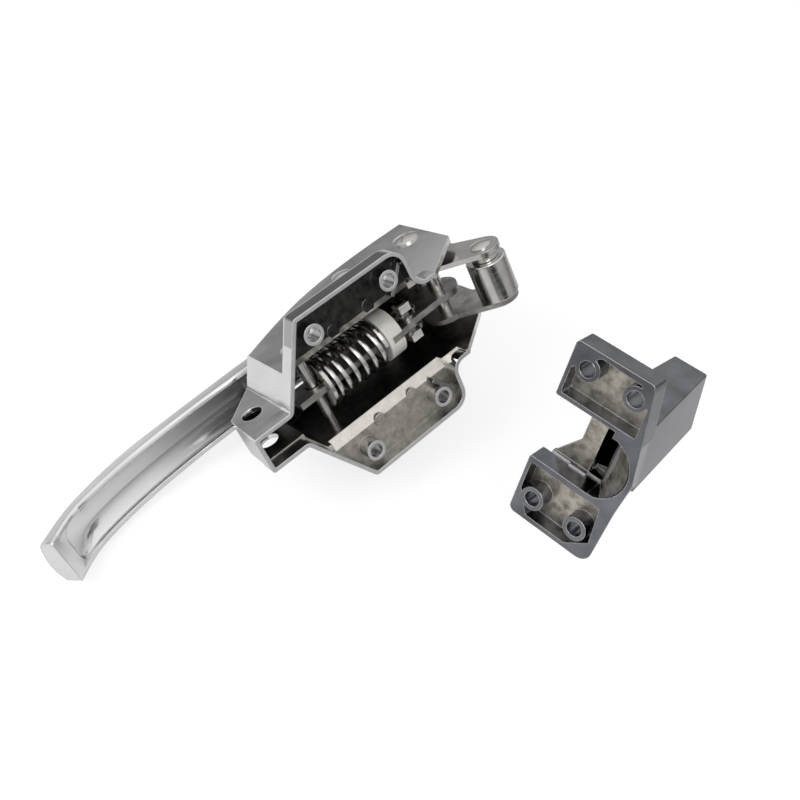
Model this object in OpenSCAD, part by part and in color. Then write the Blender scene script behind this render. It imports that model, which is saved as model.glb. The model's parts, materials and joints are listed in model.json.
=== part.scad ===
// Cold room door lock: a spring roller latch with its pull handle, and the strike it closes on.
// X runs along the lock to the roller, Y stands off the door and Z is the direction of the pins.
// The origin is the centre of the four screw holes, on the face that meets the door.

/* [Housing] */
// Distance between screw holes along the lock
hole_pitch_x = 44.45; // [42:0.05:47]
// Distance between screw holes across the lock
hole_pitch_z = 69.85; // [68:0.05:72]
// Diameter of a screw hole
screw_hole_d = 6.8; // [5:0.1:7.4]
// Diameter of the boss round a screw hole
screw_boss_d = 10.2; // [9.6:0.1:11]
// Thickness of the cast walls
wall = 2.75; // [2.2:0.05:3.2]
// Width of the housing over its side walls
body_w = 48; // [47:0.5:54]
// Width of the flange
flange_w = 93.4; // [91:0.2:98]
// Height of the flange above the door
flange_h = 10.5; // [9.8:0.1:12]
// Width of the rim that meets the door
rim_w = 2; // [1.5:0.1:2.5]
// Height of the crown where it is highest
crown_h = 74.3; // [73.9:0.1:78]
// Height of the ledge where the handle comes out
ledge_h = 48; // [46:0.2:50]
// Distance from the origin to the left end of the crown
crown_left = 41; // [38:0.2:44]
// Distance from the origin to the open end
open_end = 75.3; // [74:0.2:80]
// Radius of the long edges of the crown
crown_edge_r = 1.6; // [1:0.1:2.5]
// Width of the neck
neck_w = 19.8; // [18:0.2:22]
// Distance from the origin to the end of the neck
neck_end = 70.6; // [69:0.2:76]
// Height of the end of the neck
neck_h = 29.2; // [27:0.2:34]
// Diameter of the padlock hole
padlock_hole_d = 10.5; // [8:0.1:12]

/* [Pins] */
// Distance of the arm pivot from the origin
arm_pivot_x = 64; // [62:0.2:66]
// Height of the arm pivot
arm_pivot_y = 51; // [50:0.2:53]
// Distance of the handle pivot from the origin
handle_pivot_x = 26; // [25:0.2:28]
// Height of the handle pivot
handle_pivot_y = 59.8; // [58.5:0.2:60.5]
// Distance of the spring pin from the origin, towards the neck
spring_pin_x = 27.4; // [25:0.2:29]
// Height of the spring pin
spring_pin_y = 24.5; // [23.5:0.1:26]
// Diameter of the two pivot pins
pivot_d = 8; // [7:0.1:8.6]
// Diameter of the spring pin
spring_pin_d = 6; // [5:0.1:6.6]
// Diameter of the arm pivot's head
pivot_head_d = 14.2; // [12:0.1:15]
// Height of a pin head above the wall
head_h = 2.2; // [1.2:0.1:2.6]
// Radial clearance of a running fit
running_play = 0.05; // [0.03:0.01:0.1]
// Gap beside a piece that turns
side_play = 0.15; // [0.1:0.01:0.3]

/* [Roller arm] */
// Gap between the two arm plates
arm_gap = 26.2; // [25.8:0.1:27]
// How far the arm sits off the middle, towards the upper wall
arm_offset = 1.8; // [1.6:0.1:2]
// Thickness of an arm plate
arm_t = 2.6; // [2.2:0.1:3]
// Length of the roller
roller_l = 22; // [20:0.1:22.4]
// Radius of the arm round its pivot
arm_pivot_r = 11.5; // [10:0.1:12]
// Radius of the arm round the roller axle
arm_roller_r = 9.5; // [8:0.1:10]
// Distance of the link pin from the origin
link_pin_x = 57.5; // [56:0.2:59]
// Height of the link pin
link_pin_y = 28; // [27.4:0.2:29]
// Diameter of the link pin
link_pin_d = 8; // [7:0.1:8.6]
// Distance of the roller axle from the origin
roller_x = 78.7; // [77:0.1:80]
// Height of the roller axle
roller_y = 7; // [5:0.1:9]
// Diameter of the roller
roller_d = 21; // [18:0.1:22]
// Diameter of the roller axle
roller_axle_d = 8; // [6:0.1:9]

/* [Spring strut] */
// Thickness of the link plate
link_t = 3.3; // [2.6:0.1:3.8]
// Radius of the link plate round its pin
link_head_r = 11; // [9.5:0.1:11.4]
// Height of the link plate between its pin and the seat
link_bar_h = 19; // [17:0.2:20]
// Height of the link plate inside the spring
link_tongue_h = 16; // [14:0.2:17]
// Outer diameter of the spring
spring_d = 27; // [26:0.1:28]
// Diameter of the spring wire
wire_d = 3; // [2.6:0.1:3.2]
// Number of turns of the spring
spring_turns = 6.5; // [5.5:0.5:7.5]
// Diameter of the spring seat
seat_d = 26; // [25:0.2:28]
// Thickness of the spring seat
seat_t = 9.3; // [8:0.1:9.6]
// Distance from the spring pin to the seat's spring face
seat_at = 41; // [39:0.2:42]
// Thickness of the washer that stops the spring
stop_t = 1.9; // [1.5:0.1:2.4]
// Sideways clearance of the link slot round the spring pin
slot_play = 0.65; // [0.6:0.05:0.8]
// Distance of the cross pin from the origin
cross_pin_x = 32; // [31.2:0.1:33]
// Height of the cross pin
cross_pin_y = 22; // [21:0.1:23]
// Diameter of the cross pin
cross_pin_d = 5; // [4:0.1:5.6]
// Width of the square nuts on the cross pin
cross_nut_w = 6.6; // [6:0.1:7.4]

/* [Handle] */
// Width of the handle
handle_w = 24.8; // [23:0.2:26]
// Gap between the handle and the sides of its slot
handle_play = 0.6; // [0.4:0.05:0.9]
// Distance from the origin to the tip of the handle
handle_reach = 167.7; // [160:0.5:175]
// Width of the hollow in the back of the handle
hollow_w = 19.6; // [17:0.2:20.6]
// Depth of the hollow in the back of the handle
hollow_depth = 2.4; // [1:0.1:3]
// Radius of the handle round its pivot
hub_r = 9.5; // [8.5:0.1:10.5]
// Gap between the two cheeks of the fork
fork_gap = 7; // [6.6:0.1:8]
// Thickness of a fork cheek
fork_t = 2.4; // [2:0.1:3]
// Clearance of the cross pin in the fork
fork_play = 0.55; // [0.5:0.05:0.7]

/* [Strike] */
// Distance between strike screw holes across the feet
strike_pitch_u = 22.4; // [21:0.1:24]
// Distance between strike screw holes along the feet
strike_pitch_v = 69.86; // [68:0.01:72]
// Distance from the middle of the strike to its straight side
strike_left = 19.7; // [19:0.1:22]
// Distance from the middle of the strike to the far end of the upper foot
upper_foot_end = 44.4; // [43:0.1:48]
// Distance from the middle of the strike to the far end of the lower foot
lower_foot_end = 46.8; // [44:0.1:49]
// Distance from the middle of the strike to the roller side of the upper foot
upper_foot_from = 17.5; // [16:0.1:18.5]
// Distance from the middle of the strike to the roller side of the lower foot
lower_foot_from = 15.6; // [14:0.1:17]
// Thickness of a foot
foot_t = 10.3; // [9:0.1:12]
// Diameter of a strike screw hole
strike_hole_d = 7.2; // [6:0.1:8.2]
// Diameter of the boss round a strike screw hole
strike_boss_d = 11.2; // [10.4:0.1:12]
// Depth of the strike behind its mounting face
strike_depth = 75; // [70:0.5:80]
// Thickness of the strike walls
strike_wall = 2.6; // [2:0.1:3]
// Depth of the plate between the feet
plate_w = 12; // [11:0.2:14]
// Width of the slot beside the plate
slot_wide = 6.5; // [5:0.1:8]
// Radius of the scoop beside the slot
scoop_r = 15.8; // [14:0.1:16]

/* [Hidden] */
$fn = 48;

// Driving points in the side view
arm_pivot = [arm_pivot_x, arm_pivot_y];
handle_pivot = [handle_pivot_x, handle_pivot_y];
spring_pin = [-spring_pin_x, spring_pin_y];
link_pin_c = [link_pin_x, link_pin_y];
roller_c = [roller_x, roller_y];
cross_pin_c = [cross_pin_x, cross_pin_y];
padlock_c = [-60, 23];

// Through cuts run this far past a face
over = 1;
// Closed outlines that a later cut trims run this far past it
spare = 6;
// Walls stand this far inside the edge of the flange that carries them
set_in = 0.2;
// and start this far above the door
set_up = 0.6;

// Housing
floor_t = 2.5;
pocket_depth = flange_h - floor_t;
inner_z = body_w / 2 - wall;
flange_left = 27.9;
flange_right = 34.5;
neck_root = 50.2;
mouth_foot = 46.3;
mouth_foot_h = 23.7;
mouth_lean = 1.3;
shoulder = [-18.7, crown_h - 14.4];
brow = [1.4, crown_h - 6.4];
crown_rise = [26, crown_h - 1.5];
crown_top = [52, crown_h];
mouth_lip = [open_end, crown_h - 0.6];
slot_w = handle_w + 2 * handle_play;
slot_left = 47;
slot_right = handle_pivot_x + hub_r + 1.2;
slot_corner_r = 3;
ledge_under = ledge_h - 3;
flange_edge_r = 2.1;
band_left = -38;
band_right = 33.6;
band_rise = 4;
band_reach = 4.75;
band_rib = 3.5;
eject_d = 6.4;
eject_x = 10.5;
eject_rise = 0.4;
web_t = 1.6;
web_top = 3;

// Pins
rivet_head_d = 11;
head_slot_w = 1.3;
head_slot_depth = 0.8;
axle_head_d = 11;
link_head_d = 10;
spacer_d = 14;

// Roller arm
arm_high = arm_offset + arm_gap / 2;
arm_low = arm_offset - arm_gap / 2;
roller_low = arm_low + side_play;
roller_high = roller_low + roller_l;
roller_washer_t = (arm_high - roller_high - 3 * side_play) / 2;
roller_edge_r = 0.8;

// Spring strut, measured from the spring pin towards the link pin
strut = link_pin_c - spring_pin;
strut_l = norm(strut);
strut_angle = atan2(strut.y, strut.x);
cross_from_pin = cross_pin_c - spring_pin;
cross_along = cross_from_pin * strut / strut_l;
cross_beside = (strut.x * cross_from_pin.y - strut.y * cross_from_pin.x) / strut_l;
link_travel = 8.6;
link_tail = 12.6;
seat_hold = 2.8;
shoulder_h = 2 * 12;
shoulder_l = 11;
stop_at = spring_pin_d / 2 + side_play;
spring_from = stop_at + stop_t;
coil_r = (spring_d - wire_d) / 2;
slip = 0.2;

// Handle
hub_l = 2 * (inner_z - side_play);
hub_boss_r = 7.5;
fork = cross_pin_c - handle_pivot;
fork_reach = norm(fork);
fork_angle = atan2(fork.y, fork.x);
fork_travel = 4;
fork_end = fork_reach + cross_pin_d / 2 + 2;
fork_root_w = 14.6;
fork_tip_w = 12;
handle_back = [reach(0.974, 32), reach(0.894, 45), reach(0.805, 51.8), reach(0.698, 56.5),
    reach(0.596, 59.2), reach(0.477, 61), reach(0.298, 61.8), [-18, 60],
    handle_pivot - [0, hub_r]];
handle_front = [handle_pivot + [0, hub_r], [-5, 71.2], reach(0.209, 72), reach(0.361, 71),
    reach(0.537, 69), reach(0.674, 66.6), reach(0.793, 61), reach(0.904, 52.4),
    reach(1, 38.7)];
front_round = 1.5;
front_crown = 1.6;
back_round = 0.6;
hollow_right = -47;
hollow_left = -0.94 * handle_reach;
hollow_corner_r = 5;

// Strike, in its own frame: u across the feet, v along them, w out of the mounting face
strike_at = [20.4, -103, -28.9];
strike_turn = [65.9, 28.4, -83];
foot_floor = 2.6;
foot_rim = 2;
rim_side = 1.8;
rim_top = 2.9;
rim_bottom = 2.3;
bulge = [25.2, -0.5];
upper_corner = [17, upper_foot_end - 3];
edge_slant = (bulge.x - upper_corner.x) / (upper_corner.y - bulge.y);
upper_inner = upper_corner.x + edge_slant * (upper_corner.y - upper_foot_from);
lower_right = [22.2, 19.3];
lower_inner = [23.6, 21.9];
plate_left = -5;
plate_foot = -15;
plate_right = 3;
plate_bend = [-12.8, -12.5];
slot_right_u = plate_right + slot_wide;
scoop_at = [7, -0.6];
ridge_step = -5.5;
ridge_h = [1.4, 2.6];
box_left = [-6, -2];
box_low_left = [-18, -12];
box_low_right = [[23.3, -11.5], [20, -7.6]];
box_high_right = [[19, 19], [15, 21]];
box_from = plate_w + strike_wall - 1;
box_r = 1;

// Plain vector helpers
function xy(p) = [p.x, p.y];
function unit(v) = v / norm(v);
function left_of(v) = [-v.y, v.x];
function reach(share, y) = [-share * handle_reach, y];

// Points of an arc round c from angle a to angle b
function arc(c, r, a, b, n = 6) =
    [for (i = [0 : n]) c + r * [cos(a + (b - a) * i / n), sin(a + (b - a) * i / n)]];

// Rounded corner q between its neighbours p and s, where q.z is the radius
function corner(p, q, s, n) =
    let (
        u = unit(xy(p) - xy(q)),
        v = unit(xy(s) - xy(q)),
        half = acos(u * v) / 2,
        c = xy(q) + unit(u + v) * q.z / sin(half),
        start = xy(q) + u * q.z / tan(half) - c,
        a = atan2(start.y, start.x),
        side = cross(xy(q) - xy(p), xy(s) - xy(q)) > 0 ? 1 : -1)
    q.z == 0 ? [xy(q)] : arc(c, q.z, a, a + side * (180 - 2 * half), n);

// Corners of a counter-clockwise outline moved inwards by d, radii following
least_r = 0.6;
function inset(pts, d) =
    let (k = len(pts))
    [for (i = [0 : k - 1])
        let (
            before = xy(pts[i]) - xy(pts[(i + k - 1) % k]),
            after = xy(pts[(i + 1) % k]) - xy(pts[i]),
            m = left_of(unit(before)),
            w = left_of(unit(after)),
            q = xy(pts[i]) + (m + w) * d / (1 + m * w),
            r = cross(before, after) > 0 ? pts[i].z - d : pts[i].z + d)
        [q.x, q.y, pts[i].z == 0 ? 0 : max(r, least_r)]];

// Outline with rounded corners, moved inwards by d
function outline(pts, d = 0, n = 6) =
    let (p = inset(pts, d), k = len(p))
    [for (i = [0 : k - 1]) each corner(p[(i + k - 1) % k], p[i], p[(i + 1) % k], n)];

// Smooth curve through a list of points
function spline_at(p, i, t) =
    let (
        a = p[max(i - 1, 0)],
        b = p[i],
        c = p[i + 1],
        d = p[min(i + 2, len(p) - 1)])
    b + (c - a) * t / 2 + (2 * a - 5 * b + 4 * c - d) * t * t / 2
        + (3 * b - a - 3 * c + d) * t * t * t / 2;
function spline(p, n = 4) =
    concat([for (i = [0 : len(p) - 2], j = [0 : n - 1]) spline_at(p, i, j / n)],
        [p[len(p) - 1]]);

// Points as sharp corners for outline() and inset()
function sharp(pts) = [for (p = pts) [p.x, p.y, 0]];

// Outline round a row of circles [x, y, r] taken counter-clockwise, as a belt lies on pulleys
function belt_angle(p, q) =
    let (d = xy(q) - xy(p))
    atan2(d.y, d.x) - acos((p.z - q.z) / norm(d));
function belt(c, n = 10) =
    let (k = len(c))
    [for (i = [0 : k - 1])
        let (
            a = belt_angle(c[(i + k - 1) % k], c[i]),
            b = belt_angle(c[i], c[(i + 1) % k]),
            turn = (b - a + 720) % 360)
        each arc(xy(c[i]), c[i].z, a, a + turn, n)];

// Solid through a stack of rings with the same number of points
module loft(rings) {
    ring_stack(rings, [[for (i = [0 : len(rings[0]) - 1]) i]]);
}

// The same for long bent rings, with both ends closed by strips from side to side
module bent_loft(rings) {
    n = len(rings[0]);
    ring_stack(rings, concat(
        [for (i = [0 : n / 2]) if (i + 1 < n - 2 - i) [i, i + 1, n - 2 - i]],
        [for (i = [0 : n / 2]) if (i < n - 2 - i) [i, n - 2 - i, n - 1 - i]]));
}

module ring_stack(rings, cap) {
    n = len(rings[0]);
    m = len(rings);
    polyhedron(
        points = [for (ring = rings) each ring],
        faces = concat(
            cap,
            [for (j = [0 : m - 2], i = [0 : n - 1])
                [j * n + i, (j + 1) * n + i, (j + 1) * n + (i + 1) % n]],
            [for (j = [0 : m - 2], i = [0 : n - 1])
                [j * n + i, (j + 1) * n + (i + 1) % n, j * n + (i + 1) % n]],
            [for (face = cap) [for (k = [len(face) - 1 : -1 : 0]) (m - 1) * n + face[k]]]));
}

// Flat shape in the side view, from one distance along the pins to another
module side(z0, z1) {
    translate([0, 0, z0]) linear_extrude(z1 - z0) children();
}

// Flat shape in the plan of the door, from one height above the door to another
module plan(y0, y1) {
    rotate([90, 0, 0]) translate([0, 0, -y1]) linear_extrude(y1 - y0) children();
}

// Flat shape across the lock, with its points as height and distance along the pins
module across(x0, x1) {
    translate([x0, 0, 0]) rotate([90, 0, 90]) linear_extrude(x1 - x0) children();
}

// Round bar along the pins at a point of the side view
module bar(at, d, z0, z1) {
    translate([at.x, at.y, z0]) cylinder(d = d, h = z1 - z0);
}

// The same shape on both sides of the middle plane
module both_sides() {
    children();
    mirror([0, 0, 1]) children();
}

// Low domed head on the end of a pin
module head(d, h) {
    rise = h * 0.6;
    dome_r = (d * d / 4 + rise * rise) / (2 * rise);
    half = asin(d / 2 / dome_r);
    rotate_extrude()
        polygon(concat([[0, 0], [d / 2, 0]],
            arc([0, h - dome_r], dome_r, 90 - half, 90)));
}

// Pin with a head at each end, outside the faces at z0 and z1
module headed_pin(at, d, head_d, z0, z1, h) {
    bar(at, d, z0, z1);
    translate([at.x, at.y, z1]) head(head_d, h);
    translate([at.x, at.y, z0]) mirror([0, 0, 1]) head(head_d, h);
}

// Washer or tube round a pin
module ring(at, d, bore, z0, z1) {
    difference() {
        bar(at, d, z0, z1);
        bar(at, bore, z0 - over, z1 + over);
    }
}

// Turns local X from the spring pin towards the link pin
module along_strut() {
    translate([spring_pin.x, spring_pin.y, 0]) rotate([0, 0, strut_angle]) children();
}

// Turns local X from the handle pivot towards the cross pin
module along_fork() {
    translate([handle_pivot.x, handle_pivot.y, 0]) rotate([0, 0, fork_angle]) children();
}

// Plan of the face that meets the door, as corners
half_flange = flange_w / 2;
half_neck = neck_w / 2;
foot_z = body_w / 2 + set_in;
flange_plan = [
    [mouth_foot, -foot_z, 0.8], [mouth_foot, foot_z, 0.8],
    [flange_right + 0.8, foot_z, 6], [flange_right, half_flange, 9],
    [-flange_left, half_flange, 3], [-neck_root, half_neck, 2],
    [-neck_end, half_neck, 1.5], [-neck_end, -half_neck, 1.5],
    [-neck_root, -half_neck, 2], [-flange_left, -half_flange, 3],
    [flange_right, -half_flange, 9], [flange_right + 0.8, -foot_z, 6]];

// Plan that the body keeps to, with its two slanted corners
body_plan = [
    [-neck_root, -half_neck, 0], [-flange_left, -half_flange, 0],
    [open_end + spare, -half_flange, 0], [open_end + spare, half_flange, 0],
    [-flange_left, half_flange, 0], [-neck_root, half_neck, 0]];

// Side view of the body, run past its open faces
crown_foot = [-crown_left, ledge_h + 0.6];
crown_line = spline([crown_foot, shoulder, brow, crown_rise, crown_top, mouth_lip], 3);
crown_back = [for (i = [len(crown_line) - 1 : -1 : 0]) crown_line[i]];
body_side = sharp(concat(
    [[open_end + spare, -spare], mouth_lip + [spare, -0.5]],
    crown_back,
    [[-neck_root - spare, ledge_h], [-neck_root - spare, -spare]]));

// Side view of the neck, run past its open faces
neck_side = [
    [-neck_end, -spare, 0], [-crown_left + spare, -spare, 0],
    [-crown_left + spare, ledge_h + 1.5, 0], [-neck_root + 1.4, ledge_h + 1.5, 2],
    [-neck_end + 1.4, neck_h, 3]];

// Side view that trims the open end
mouth_side = [
    [-neck_end - spare, set_up, 0], [mouth_foot - set_in, set_up, 0],
    [open_end - mouth_lean, mouth_foot_h, 3],
    [open_end, crown_h + spare, 0], [-neck_end - spare, crown_h + spare, 0]];

module body_shell() {
    edge = crown_edge_r;
    intersection() {
        loft(concat(
            [for (a = [90 : -30 : 0])
                [for (p = outline(body_side, edge * (1 - cos(a))))
                    [p.x, p.y, -body_w / 2 + edge * (1 - sin(a))]]],
            [for (a = [0 : 30 : 90])
                [for (p = outline(body_side, edge * (1 - cos(a))))
                    [p.x, p.y, body_w / 2 - edge * (1 - sin(a))]]]));
        side(-body_w, body_w) polygon(outline(mouth_side));
        plan(-over, crown_h + spare) polygon(outline(body_plan, set_in));
    }
}

module neck_shell() {
    intersection() {
        side(-half_neck + set_in, half_neck - set_in) polygon(outline(neck_side));
        plan(set_up, crown_h) polygon(outline(flange_plan, set_in));
    }
}

module flange() {
    intersection() {
        rotate([90, 0, 0])
            loft(concat(
                [for (a = [90 : -30 : 0])
                    [for (p = outline(flange_plan, flange_edge_r * (1 - cos(a))))
                        [p.x, p.y, -flange_h - set_in + flange_edge_r * (1 - sin(a))]]],
                [[for (p = outline(flange_plan)) [p.x, p.y, over]]]));
        plan(0, flange_h) square(4 * flange_w, center = true);
    }
    both_sides() intersection() {
        across(band_left, mouth_foot)
            polygon([[flange_h - over, body_w / 2 - over],
                [flange_h - over, body_w / 2 + band_rib + over],
                [flange_h + band_rib + over, body_w / 2 - over]]);
        plan(0, flange_h + body_w)
            polygon([[-neck_root, 0], [flange_right - flange_edge_r, 0],
                [flange_right - flange_edge_r, body_w / 2],
                [flange_right - flange_edge_r - band_rib - over, body_w / 2 + band_rib + over],
                [-neck_root, body_w / 2 + band_rib + over]]);
    }
}

module hollow_inside() {
    intersection() {
        side(-inner_z, inner_z) polygon(outline(body_side, wall));
        plan(-over, crown_h) polygon(outline(body_plan, wall));
    }
    side(-half_neck + wall, half_neck - wall) polygon(outline(neck_side, wall));
    plan(-over, pocket_depth) polygon(outline(flange_plan, rim_w));
    both_sides()
        across(band_left, band_right)
            polygon([[pocket_depth - over, inner_z - over],
                [pocket_depth + band_rise, inner_z - over], [pocket_depth + band_rise, inner_z],
                [pocket_depth, inner_z + band_reach], [pocket_depth - over, inner_z + band_reach]]);
}

module pocket_details() {
    for (x = [-1, 1], z = [-1, 1])
        translate([x * hole_pitch_x / 2, 0, z * hole_pitch_z / 2])
            rotate([-90, 0, 0]) cylinder(d = screw_boss_d, h = flange_h - floor_t / 2);
    for (x = [-1, 1], z = [-1, 1])
        translate([x * eject_x, pocket_depth - eject_rise, z * (inner_z + band_reach + over)])
            rotate([-90, 0, 0]) cylinder(d = eject_d, h = floor_t);
    both_sides()
        plan(web_top, pocket_depth + over)
            polygon([[21, inner_z + band_reach], [21 + web_t, inner_z + band_reach - over],
                [flange_right - 1.5, 37.4], [flange_right - 1.5 - web_t, 38.4]]);
}

module housing() {
    color("silver")
    difference() {
        union() {
            difference() {
                union() {
                    body_shell();
                    neck_shell();
                    flange();
                }
                hollow_inside();
            }
            pocket_details();
        }
        plan(ledge_under, crown_h + over)
            polygon(outline([[-slot_left, -slot_w / 2, 0], [slot_right, -slot_w / 2, slot_corner_r],
                [slot_right, slot_w / 2, slot_corner_r], [-slot_left, slot_w / 2, 0]]));
        for (x = [-1, 1], z = [-1, 1])
            translate([x * hole_pitch_x / 2, -over, z * hole_pitch_z / 2])
                rotate([-90, 0, 0]) cylinder(d = screw_hole_d, h = flange_h + 2 * over);
        bar(padlock_c, padlock_hole_d, -neck_w, neck_w);
        bar(arm_pivot, pivot_d + 2 * running_play, -body_w, body_w);
        bar(handle_pivot, pivot_d + 2 * running_play, -body_w, body_w);
        bar(spring_pin, spring_pin_d + 2 * running_play, -body_w, body_w);
    }
}

// Side outline of the handle, with its front and back moved inwards by their own amounts
handle_lower = spline(handle_back, 3);
handle_upper = spline(handle_front, 3);
hub_arc = arc(handle_pivot, hub_r, -75, 75, 8);
function handle_ring(front_in, back_in, z) =
    let (
        pts = concat(handle_lower, hub_arc, handle_upper),
        n_low = len(handle_lower),
        n_hub = len(hub_arc) + 3,
        k = len(pts))
    [for (i = [0 : k - 1])
        let (
            m = left_of(unit(pts[i] - pts[(i + k - 1) % k])),
            w = left_of(unit(pts[(i + 1) % k] - pts[i])),
            d = i < n_low ? back_in : i < n_low + n_hub ? max(front_in, 0) : front_in,
            q = pts[i] + (m + w) * d / (1 + max(m * w, 0)))
        [q.x, q.y, z]];

module handle_blade() {
    half = handle_w / 2;
    stations = [-1, -0.95, -0.88, -0.6, -0.3, 0, 0.3, 0.6, 0.88, 0.95, 1];
    edge_from = 0.88;
    bent_loft([for (s = stations)
        let (edge = pow(max(abs(s) - edge_from, 0) / (1 - edge_from), 2))
        handle_ring(front_round * edge - front_crown * (1 - s * s), back_round * edge, s * half)]);
}

module handle_hollow() {
    round_hub = handle_pivot + [4 * hub_r, 4 * hub_r];
    band_top = [for (p = inset(sharp(concat(handle_lower, [round_hub])), hollow_depth)) xy(p)];
    floor_line = [for (i = [0 : len(handle_lower) - 1]) band_top[i]];
    outer = [for (i = [len(handle_lower) - 1 : -1 : 0]) handle_lower[i] - [0, spare]];
    intersection() {
        side(-handle_w, handle_w) polygon(concat(outer, floor_line));
        plan(0, crown_h)
            polygon(outline([[hollow_left, -hollow_w / 2, hollow_corner_r],
                [hollow_right, -hollow_w / 2, hollow_corner_r],
                [hollow_right, hollow_w / 2, hollow_corner_r],
                [hollow_left, hollow_w / 2, hollow_corner_r]]));
    }
}

module fork_cheeks() {
    both_sides()
        along_fork()
            side(fork_gap / 2, fork_gap / 2 + fork_t)
                difference() {
                    polygon(outline([[0, -fork_root_w / 2, 0], [fork_end, -fork_tip_w / 2, 3],
                        [fork_end, fork_tip_w / 2, 3], [0, fork_root_w / 2, 0]]));
                    translate([fork_reach - fork_travel, 0])
                        circle(d = cross_pin_d + 2 * fork_play);
                    translate([fork_reach - fork_travel, -cross_pin_d / 2 - fork_play])
                        square([fork_travel + cross_pin_d + spare, cross_pin_d + 2 * fork_play]);
                }
}

module handle() {
    color("gainsboro")
    difference() {
        union() {
            difference() {
                handle_blade();
                handle_hollow();
            }
            side(-hub_l / 2, hub_l / 2) polygon(arc(handle_pivot, hub_boss_r, 7.5, 352.5, 23));
            fork_cheeks();
        }
        bar(handle_pivot, pivot_d + 2 * running_play, -body_w, body_w);
    }
}

module handle_pivot_pin() {
    color("lightgray") headed_pin(handle_pivot, pivot_d, rivet_head_d, -body_w / 2, body_w / 2, head_h);
}

module arm_pivot_pin() {
    color("lightgray")
    difference() {
        headed_pin(arm_pivot, pivot_d, pivot_head_d, -body_w / 2, body_w / 2, head_h);
        translate([arm_pivot.x, arm_pivot.y, body_w / 2 + head_h])
            rotate([0, 0, 35])
                cube([pivot_head_d + over, head_slot_w, 2 * head_slot_depth], center = true);
    }
}

module spring_anchor_pin() {
    color("lightgray")
        headed_pin(spring_pin, spring_pin_d, rivet_head_d, -body_w / 2, body_w / 2, head_h);
}

module upper_pivot_spacer() {
    color("darkgray")
        ring(arm_pivot, spacer_d, pivot_d + 2 * running_play,
            arm_high + arm_t + side_play, inner_z);
}

module lower_pivot_spacer() {
    color("darkgray")
        ring(arm_pivot, spacer_d, pivot_d + 2 * running_play,
            -inner_z, arm_low - arm_t - side_play);
}

module pivot_tube() {
    color("darkgray") ring(arm_pivot, spacer_d, pivot_d + 2 * running_play, arm_low, arm_high);
}

// Side outline of an arm plate: a cheek round the pivots and a finger to the roller
module arm_outline() {
    polygon(belt([[link_pin_x, link_pin_y, arm_pivot_r], [link_pin_x + 8, link_pin_y - 3, arm_pivot_r - 1],
        [arm_pivot_x + 1.5, arm_pivot_y - 12, arm_pivot_r], [arm_pivot_x, arm_pivot_y, arm_pivot_r]]));
    polygon(belt([[roller_x, roller_y, arm_roller_r], [link_pin_x + 9, link_pin_y - 3, arm_roller_r],
        [link_pin_x + 3, link_pin_y - 5, arm_roller_r - 2]]));
}

module arm_plate(z0) {
    difference() {
        side(z0, z0 + arm_t) arm_outline();
        bar(arm_pivot, pivot_d + 2 * running_play, -body_w, body_w);
        bar(link_pin_c, link_pin_d + 2 * running_play, -body_w, body_w);
        bar(roller_c, roller_axle_d + 2 * running_play, -body_w, body_w);
    }
}

module upper_arm_plate() {
    color("gainsboro") arm_plate(arm_high);
}

module lower_arm_plate() {
    color("gray") arm_plate(arm_low - arm_t);
}

module link_pin() {
    color("lightgray")
        headed_pin(link_pin_c, link_pin_d, link_head_d, arm_low - arm_t, arm_high + arm_t, head_h / 2);
}

module roller_axle() {
    color("lightgray")
        headed_pin(roller_c, roller_axle_d, axle_head_d, arm_low - arm_t, arm_high + arm_t, head_h * 0.8);
}

module roller() {
    r = roller_d / 2;
    bore = roller_axle_d / 2 + running_play;
    color("silver")
        translate([roller_x, roller_y, 0])
            rotate_extrude($fn = 64)
                polygon(concat(
                    [[bore, roller_high], [bore, roller_low]],
                    arc([r - roller_edge_r, roller_low + roller_edge_r], roller_edge_r, -90, 0, 3),
                    arc([r - roller_edge_r, roller_high - roller_edge_r], roller_edge_r, 0, 90, 3)));
}

// Two washers that fill the gap over the roller
module roller_washers() {
    color("lightgray")
    for (k = [0, 1])
        ring(roller_c, spacer_d, roller_axle_d + 2 * running_play,
            arm_high - (k + 1) * (roller_washer_t + side_play) + side_play / 2,
            arm_high - k * (roller_washer_t + side_play) - side_play / 2);
}

// Side outline of the link plate, along the strut
module link_outline() {
    polygon(belt([[0, 0, link_tongue_h / 2], [seat_at + seat_hold + 4, 0, link_tongue_h / 2]]));
    translate([-link_tail, -link_tongue_h / 2])
        square([link_tail + seat_at + seat_hold, link_tongue_h]);
    polygon(outline([[seat_at + seat_hold, -shoulder_h / 2, 1],
        [seat_at + seat_hold + shoulder_l, -shoulder_h / 2 + 0.6, 4],
        [seat_at + seat_hold + shoulder_l + 8, -link_bar_h / 2, 6],
        [strut_l, -link_bar_h / 2, 0], [strut_l, link_bar_h / 2, 0],
        [seat_at + seat_hold + shoulder_l + 8, link_bar_h / 2, 6],
        [seat_at + seat_hold + shoulder_l, shoulder_h / 2 - 0.6, 4],
        [seat_at + seat_hold, shoulder_h / 2, 1]]));
    translate([strut_l, 0]) circle(r = link_head_r);
}

module link_plate() {
    slot_h = spring_pin_d + 2 * slot_play;
    color("darkgray")
    along_strut()
        side(-link_t / 2, link_t / 2)
            difference() {
                link_outline();
                circle(d = slot_h);
                translate([0, -slot_h / 2]) square([link_travel, slot_h]);
                translate([link_travel, 0]) circle(d = slot_h);
                translate([strut_l, 0]) circle(d = link_pin_d + 2 * running_play);
                translate([cross_along, cross_beside]) circle(d = cross_pin_d + 2 * running_play);
            }
}

module cross_pin() {
    color("silver") bar(cross_pin_c, cross_pin_d, -11, 11);
}

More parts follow.
